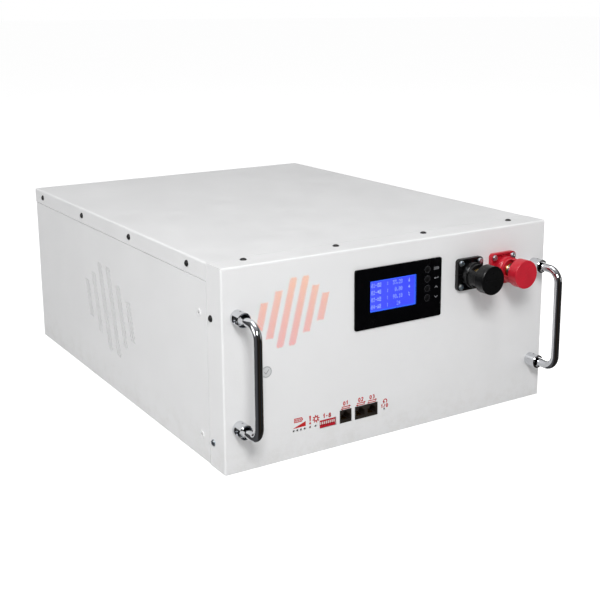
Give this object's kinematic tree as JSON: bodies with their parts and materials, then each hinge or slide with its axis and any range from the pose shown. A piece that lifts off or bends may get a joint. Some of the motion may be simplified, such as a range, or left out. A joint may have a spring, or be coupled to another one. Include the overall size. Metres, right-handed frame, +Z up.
{
  "type": "server rack battery",
  "caption": "Low rack-mount battery case with folding chrome handles, covered power terminals, display with keys, network sockets and an address switch on the front.",
  "frame": {"origin": "middle of the footprint of the whole object, on the floor it stands on", "axes": "+Z up, +Y towards the rear of the case, +X to the right when facing the front panel"},
  "size_m": [0.446, 0.6274, 0.2236],
  "materials": {
    "white_powder_coat": "fine orange-peel powder coat, satin",
    "black_screw_steel": "black-oxide steel",
    "zinc_steel": "bright zinc plate",
    "chrome_plate": "polished chrome",
    "orange_screen": "tinted screen film",
    "white_screen": "pale screen film",
    "black_terminal_plastic": "fine moulded nylon",
    "red_terminal_plastic": "fine moulded nylon",
    "stud_brass": "turned brass",
    "display_gloss_black": "gloss black overlay",
    "display_pane": "clear tinted pane",
    "display_backlight": "lit blue liquid-crystal face",
    "circuit_board": "solder mask",
    "key_rubber": "moulded rubber",
    "lamp_dark": "unlit lamp lens",
    "lamp_red": "unlit red lamp lens",
    "switch_red": "moulded red housing",
    "switch_white": "moulded white nylon",
    "socket_plastic": "moulded dark plastic",
    "contact_gold": "gold-plated contacts",
    "black_plastic": "moulded plastic",
    "cell_wrap": "blue film wrap",
    "copper": "tinned copper bar",
    "plain_aluminium": "mill finish",
    "foam": "closed-cell foam",
    "red_cable": "silicone sleeve",
    "black_cable": "silicone sleeve"
  },
  "bodies": {
    "case": {"chassis_tray": "white_powder_coat", "top_cover": "white_powder_coat", "front_panel": "white_powder_coat", "rack_ear_inserts": "white_powder_coat", "cover_screws": "black_screw_steel", "panel_top_screws": "black_screw_steel", "panel_upper_side_screws": "black_screw_steel", "panel_lower_side_screws": "zinc_steel", "handle_post_screws": "zinc_steel", "terminal_flange_screws": "zinc_steel", "terminal_stud_nuts": "zinc_steel", "pack_tie_rods": "zinc_steel", "handle_posts": "chrome_plate", "handle_pins": "chrome_plate", "front_vent_screen": "orange_screen", "side_vent_screens": "white_screen", "negative_terminal_base": "black_terminal_plastic", "positive_terminal_base": "red_terminal_plastic", "negative_terminal_stud": "stud_brass", "positive_terminal_stud": "stud_brass", "display_bezel": "display_gloss_black", "display_window": "display_pane", "display_module": "display_backlight", "display_board": "circuit_board", "interface_board": "circuit_board", "bms_board": "circuit_board", "charge_and_run_lamps": "lamp_dark", "alarm_lamp": "lamp_red", "address_switch_body": "switch_red", "single_network_socket": "socket_plastic", "double_network_socket": "socket_plastic", "socket_contacts": "contact_gold", "reset_switch_body": "black_plastic", "battery_cells": "cell_wrap", "cell_busbars": "copper", "pack_end_plates": "plain_aluminium", "bms_heat_sink": "plain_aluminium", "pack_floor_pad": "foam", "positive_cable": "red_cable", "negative_cable": "black_cable"},
    "left_handle": {"left_handle_bar": "chrome_plate"},
    "right_handle": {"right_handle_bar": "chrome_plate"},
    "negative_sleeve": {"negative_terminal_sleeve": "black_terminal_plastic"},
    "positive_sleeve": {"positive_terminal_sleeve": "red_terminal_plastic"},
    "negative_cap": {"negative_terminal_cap": "black_terminal_plastic"},
    "positive_cap": {"positive_terminal_cap": "red_terminal_plastic"},
    "reset_plunger": {"reset_key": "black_plastic"},
    "display_key_1_body": {"display_key_1": "key_rubber"},
    "display_key_2_body": {"display_key_2": "key_rubber"},
    "display_key_3_body": {"display_key_3": "key_rubber"},
    "display_key_4_body": {"display_key_4": "key_rubber"},
    "address_slider_1_body": {"address_slider_1": "switch_white"},
    "address_slider_2_body": {"address_slider_2": "switch_white"},
    "address_slider_3_body": {"address_slider_3": "switch_white"},
    "address_slider_4_body": {"address_slider_4": "switch_white"},
    "address_slider_5_body": {"address_slider_5": "switch_white"},
    "address_slider_6_body": {"address_slider_6": "switch_white"},
    "address_slider_7_body": {"address_slider_7": "switch_white"},
    "address_slider_8_body": {"address_slider_8": "switch_white"}
  },
  "joints": [
    {"name": "left_handle_fold", "type": "hinge", "parent": "case", "child": "left_handle", "pos_m": [-0.2035, -0.27425, 0.1095], "axis": [0, 0, 1], "range_deg": [-90, 0]},
    {"name": "right_handle_fold", "type": "hinge", "parent": "case", "child": "right_handle", "pos_m": [0.2035, -0.27425, 0.1095], "axis": [0, 0, 1], "range_deg": [0, 90]},
    {"name": "negative_sleeve_turn", "type": "hinge", "parent": "case", "child": "negative_sleeve", "pos_m": [0.1005, -0.26625, 0.1728], "axis": [0, -1, 0], "continuous": true},
    {"name": "negative_cap_pull", "type": "slide", "parent": "negative_sleeve", "child": "negative_cap", "axis": [0, -1, 0], "range_m": [0, 0.022]},
    {"name": "positive_sleeve_turn", "type": "hinge", "parent": "case", "child": "positive_sleeve", "pos_m": [0.151, -0.26625, 0.1728], "axis": [0, -1, 0], "continuous": true},
    {"name": "positive_cap_pull", "type": "slide", "parent": "positive_sleeve", "child": "positive_cap", "axis": [0, -1, 0], "range_m": [0, 0.022]},
    {"name": "display_key_1_press", "type": "slide", "parent": "case", "child": "display_key_1_body", "axis": [0, 1, 0], "range_m": [0, 0.0005], "stiffness_N_per_m": 2000, "springref_m": -0.0003},
    {"name": "display_key_2_press", "type": "slide", "parent": "case", "child": "display_key_2_body", "axis": [0, 1, 0], "range_m": [0, 0.0005], "stiffness_N_per_m": 2000, "springref_m": -0.0003},
    {"name": "display_key_3_press", "type": "slide", "parent": "case", "child": "display_key_3_body", "axis": [0, 1, 0], "range_m": [0, 0.0005], "stiffness_N_per_m": 2000, "springref_m": -0.0003},
    {"name": "display_key_4_press", "type": "slide", "parent": "case", "child": "display_key_4_body", "axis": [0, 1, 0], "range_m": [0, 0.0005], "stiffness_N_per_m": 2000, "springref_m": -0.0003},
    {"name": "address_slider_1_set", "type": "slide", "parent": "case", "child": "address_slider_1_body", "axis": [0, 0, -1], "range_m": [0, 0.0014]},
    {"name": "address_slider_2_set", "type": "slide", "parent": "case", "child": "address_slider_2_body", "axis": [0, 0, -1], "range_m": [0, 0.0014]},
    {"name": "address_slider_3_set", "type": "slide", "parent": "case", "child": "address_slider_3_body", "axis": [0, 0, -1], "range_m": [0, 0.0014]},
    {"name": "address_slider_4_set", "type": "slide", "parent": "case", "child": "address_slider_4_body", "axis": [0, 0, -1], "range_m": [0, 0.0014]},
    {"name": "address_slider_5_set", "type": "slide", "parent": "case", "child": "address_slider_5_body", "axis": [0, 0, -1], "range_m": [0, 0.0014]},
    {"name": "address_slider_6_set", "type": "slide", "parent": "case", "child": "address_slider_6_body", "axis": [0, 0, -1], "range_m": [0, 0.0014]},
    {"name": "address_slider_7_set", "type": "slide", "parent": "case", "child": "address_slider_7_body", "axis": [0, 0, -1], "range_m": [0, 0.0014]},
    {"name": "address_slider_8_set", "type": "slide", "parent": "case", "child": "address_slider_8_body", "axis": [0, 0, -1], "range_m": [0, 0.0014]},
    {"name": "reset_press", "type": "slide", "parent": "case", "child": "reset_plunger", "axis": [0, 1, 0], "range_m": [0, 0.0005], "stiffness_N_per_m": 2000, "springref_m": -0.0003}
  ]
}
